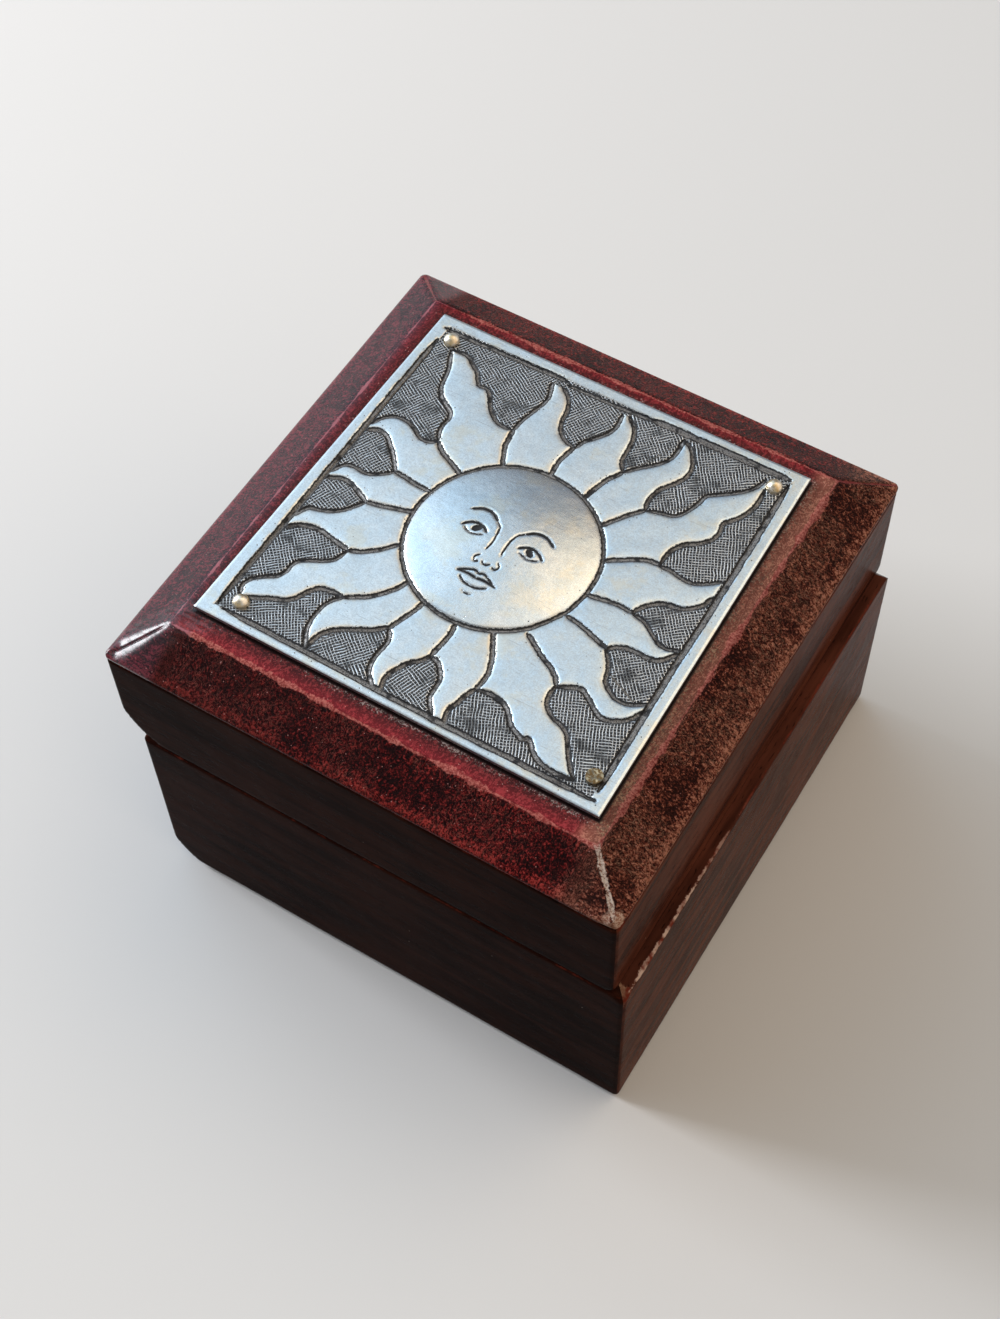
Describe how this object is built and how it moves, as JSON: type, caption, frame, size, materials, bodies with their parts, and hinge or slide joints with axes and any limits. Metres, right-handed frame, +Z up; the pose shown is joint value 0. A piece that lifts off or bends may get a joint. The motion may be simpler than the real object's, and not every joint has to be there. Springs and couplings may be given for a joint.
{
  "type": "wooden trinket box",
  "caption": "Small square wooden trinket box with a bevelled hinged lid that carries an engraved metal plate with a rayed sun.",
  "frame": {"origin": "middle of the outer size, on the surface that the box stands on", "axes": "+Z up, -Y the front, +Y the hinge side, +X the right side seen from the front"},
  "size_m": [0.0654, 0.0644, 0.0494],
  "materials": {
    "side_wood": "dark mahogany stain under worn satin lacquer",
    "panel_wood": "mottled dark red stain under worn lacquer",
    "aluminium": "hand polished, engraved, with black patina in the lines",
    "brass": "worn, slightly dull",
    "felt": "short nap felt"
  },
  "bodies": {
    "base": {"base_front_wall": "side_wood", "base_right_wall": "side_wood", "base_back_wall": "side_wood", "base_left_wall": "side_wood", "base_floor": "side_wood", "base_lining": "felt", "hinge_left_base_leaf": "brass", "hinge_left_pin": "brass", "hinge_left_base_nail_left": "brass", "hinge_left_base_nail_right": "brass", "hinge_right_base_leaf": "brass", "hinge_right_pin": "brass", "hinge_right_base_nail_left": "brass", "hinge_right_base_nail_right": "brass"},
    "lid": {"lid_front_wall": "side_wood", "lid_right_wall": "side_wood", "lid_back_wall": "side_wood", "lid_left_wall": "side_wood", "lid_top_panel": "panel_wood", "lid_lining": "felt", "sun_plate": "aluminium", "plate_pin_back_left": "brass", "plate_pin_back_right": "brass", "plate_pin_front_left": "brass", "plate_pin_front_right": "brass", "hinge_left_lid_leaf": "brass", "hinge_left_lid_nail_left": "brass", "hinge_left_lid_nail_right": "brass", "hinge_right_lid_leaf": "brass", "hinge_right_lid_nail_left": "brass", "hinge_right_lid_nail_right": "brass"}
  },
  "joints": [
    {"name": "lid_hinge", "type": "hinge", "parent": "base", "child": "lid", "pos_m": [0.001, 0.03105, 0.02815], "axis": [-1, 0, 0], "range_deg": [0, 100]}
  ]
}
